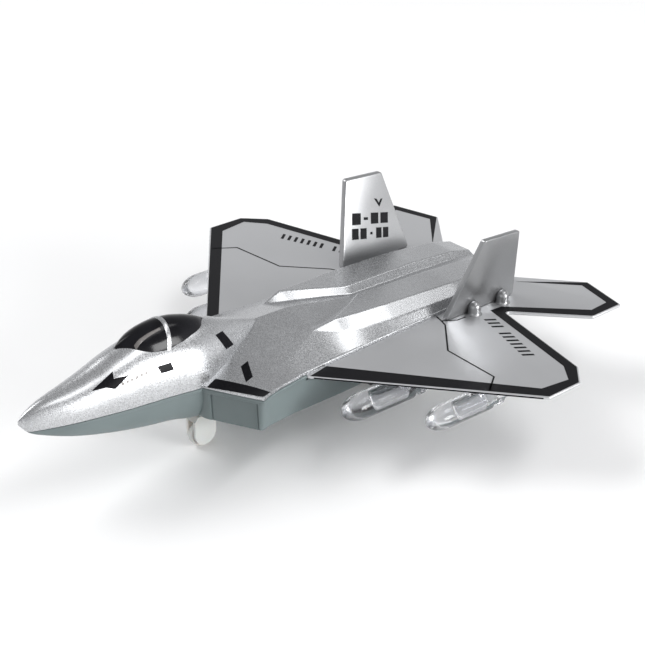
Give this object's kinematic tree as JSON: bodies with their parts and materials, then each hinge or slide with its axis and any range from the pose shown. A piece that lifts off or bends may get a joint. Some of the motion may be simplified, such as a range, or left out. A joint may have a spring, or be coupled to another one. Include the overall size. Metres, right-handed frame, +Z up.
{
  "type": "toy jet plane",
  "caption": "Small die-cast pull-back toy jet with a flat wing plate, canted fins, clear under-wing stores and free-rolling wheels on a wound spring motor.",
  "frame": {"origin": "on the ground under the middle of the jet's length and span", "axes": "-Y towards the nose, +X towards the jet's left wing tip, +Z up"},
  "size_m": [0.13, 0.1582, 0.0434],
  "materials": {
    "silver_paint": "silver paint with visible metallic flake",
    "satin_paint": "satin silver paint with printed black edges",
    "grey_plastic": "satin grey-green moulded plastic",
    "canopy_plastic": "gloss black",
    "nozzle_plastic": "satin dark grey",
    "clear_plastic": "clear moulded plastic",
    "steel": "bright plated steel",
    "wheel_plastic": "warm white moulded plastic",
    "tyre_rubber": "plain black rubber ring",
    "gear_plastic": "natural white moulded plastic",
    "motor_plastic": "black moulded plastic"
  },
  "bodies": {
    "airframe": {"upper_fuselage_shell": "silver_paint", "lower_fuselage_shell": "grey_plastic", "wing_plate": "satin_paint", "left_fin": "satin_paint", "right_fin": "satin_paint", "canopy_glazing": "canopy_plastic", "exhaust_nozzle_left": "nozzle_plastic", "exhaust_nozzle_right": "nozzle_plastic", "left_inner_missile": "clear_plastic", "left_outer_missile": "clear_plastic", "right_inner_missile": "clear_plastic", "right_outer_missile": "clear_plastic", "fin_screw_left_front": "steel", "fin_screw_left_rear": "steel", "fin_screw_right_front": "steel", "fin_screw_right_rear": "steel", "case_screw_left_front": "steel", "case_screw_left_rear": "steel", "case_screw_right_front": "steel", "case_screw_right_rear": "steel", "nose_leg": "wheel_plastic", "motor_case": "motor_plastic", "motor_lid": "motor_plastic", "mainspring": "steel", "compound_gear_pin": "steel", "motor_screw_front": "steel", "motor_screw_rear": "steel"},
    "nose_wheel_set": {"nose_axle_pin": "steel", "nose_wheel": "wheel_plastic"},
    "rear_wheels": {"rear_axle": "steel", "axle_pinion": "gear_plastic", "rear_wheel_left": "wheel_plastic", "rear_wheel_right": "wheel_plastic", "rear_tyre_left": "tyre_rubber", "rear_tyre_right": "tyre_rubber"},
    "transfer_gear": {"compound_gear": "gear_plastic"},
    "winding_gear": {"spring_gear": "gear_plastic"}
  },
  "joints": [
    {"name": "nose_wheel_spin", "type": "hinge", "parent": "airframe", "child": "nose_wheel_set", "pos_m": [0, -0.0282, 0.0036], "axis": [1, 0, 0], "continuous": true},
    {"name": "rear_axle_spin", "type": "hinge", "parent": "airframe", "child": "rear_wheels", "pos_m": [0, 0.034, 0.005], "axis": [1, 0, 0], "continuous": true},
    {"name": "transfer_gear_spin", "type": "hinge", "parent": "airframe", "child": "transfer_gear", "pos_m": [0, 0.028, 0.0082], "axis": [1, 0, 0], "continuous": true},
    {"name": "winding_gear_spin", "type": "hinge", "parent": "airframe", "child": "winding_gear", "pos_m": [0, 0.03424, 0.0118], "axis": [1, 0, 0], "continuous": true}
  ],
  "couplings": [
    {"joint": "transfer_gear_spin", "follows": "rear_axle_spin", "ratio": -0.41667},
    {"joint": "winding_gear_spin", "follows": "rear_axle_spin", "ratio": 0.16026}
  ]
}
